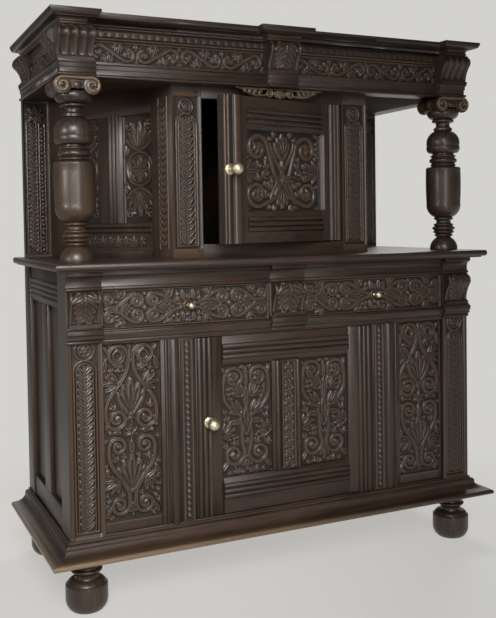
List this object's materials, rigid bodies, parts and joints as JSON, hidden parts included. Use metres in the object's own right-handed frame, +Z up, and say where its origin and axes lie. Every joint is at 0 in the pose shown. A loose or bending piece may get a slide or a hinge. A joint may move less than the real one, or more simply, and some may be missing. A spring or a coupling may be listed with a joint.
{
  "type": "press cupboard",
  "caption": "Carved oak press cupboard: a case with doors and drawers on bun feet, a recessed upper cupboard with canted sides, and a canopy on turned posts.",
  "frame": {"origin": "on the floor at the middle of the bounding box", "axes": "+Z up, the front faces -Y, +X to the right of someone facing the front"},
  "size_m": [1.504, 0.6716, 1.68],
  "materials": {
    "dark_oak": "aged and waxed",
    "plain_oak": "plain sawn boards",
    "brass": "aged, handled bright",
    "iron": "forged, dark"
  },
  "bodies": {
    "carcass": {"back_rails": "plain_oak", "canopy_architrave": "dark_oak", "canopy_boards": "plain_oak", "canopy_drop": "dark_oak", "canopy_frieze": "dark_oak", "canopy_front_consoles": "dark_oak", "canopy_side_consoles": "dark_oak", "cant_frame_left": "dark_oak", "cant_frame_right": "dark_oak", "cant_panels_left": "dark_oak", "cant_panels_right": "dark_oak", "capital_left": "dark_oak", "capital_right": "dark_oak", "cornice": "dark_oak", "drawer_consoles": "dark_oak", "drawer_runners": "plain_oak", "foot_front_left": "dark_oak", "foot_front_right": "dark_oak", "foot_rear_left": "dark_oak", "foot_rear_right": "dark_oak", "frieze_base_moulding": "dark_oak", "frieze_top_moulding": "dark_oak", "front_muntins": "dark_oak", "front_panel_left": "dark_oak", "front_panel_right": "dark_oak", "front_post_left": "dark_oak", "front_post_right": "dark_oak", "front_rails": "dark_oak", "lower_back_boards": "plain_oak", "lower_floor": "plain_oak", "pilaster_left": "dark_oak", "pilaster_right": "dark_oak", "pivot_pins": "iron", "plinth_moulding": "dark_oak", "rear_posts": "dark_oak", "side_frames": "dark_oak", "side_panels": "dark_oak", "table_board": "dark_oak", "tenon_pegs": "dark_oak", "turned_post_left": "dark_oak", "turned_post_right": "dark_oak", "upper_back_boards": "plain_oak", "upper_front_rails": "dark_oak", "upper_rear_stiles": "dark_oak"},
    "drawer_left": {"drawer_box_left": "plain_oak", "drawer_front_left": "dark_oak", "drawer_knob_left": "brass"},
    "drawer_right": {"drawer_box_right": "plain_oak", "drawer_front_right": "dark_oak", "drawer_knob_right": "brass"},
    "lower_knob": {"lower_door_knob": "brass", "lower_door_latch": "iron"},
    "lower_door": {"lower_door_panels": "dark_oak", "lower_door_rails": "dark_oak", "lower_door_stiles": "dark_oak"},
    "upper_knob": {"upper_door_knob": "brass", "upper_door_latch": "iron"},
    "upper_door": {"upper_door_panels": "dark_oak", "upper_door_rails": "dark_oak", "upper_door_stiles": "dark_oak"}
  },
  "joints": [
    {"name": "upper_door_hinge", "type": "hinge", "parent": "carcass", "child": "upper_door", "pos_m": [0.2315, -0.15724, 1.2455], "axis": [0, 0, 1], "range_deg": [-15, 80]},
    {"name": "lower_door_hinge", "type": "hinge", "parent": "carcass", "child": "lower_door", "pos_m": [0.2945, -0.22924, 0.481], "axis": [0, 0, 1], "range_deg": [0, 95]},
    {"name": "left_drawer_slide", "type": "slide", "parent": "carcass", "child": "drawer_left", "axis": [0, -1, 0], "range_m": [0, 0.3]},
    {"name": "right_drawer_slide", "type": "slide", "parent": "carcass", "child": "drawer_right", "axis": [0, -1, 0], "range_m": [0, 0.3]},
    {"name": "upper_knob_turn", "type": "hinge", "parent": "upper_door", "child": "upper_knob", "pos_m": [-0.20741, -0.28106, 1.246], "axis": [-0.2588, 0.9659, 0], "range_deg": [0, 90]},
    {"name": "lower_knob_turn", "type": "hinge", "parent": "lower_door", "child": "lower_knob", "pos_m": [-0.2665, -0.23524, 0.495], "axis": [0, 1, 0], "range_deg": [0, 90]}
  ]
}
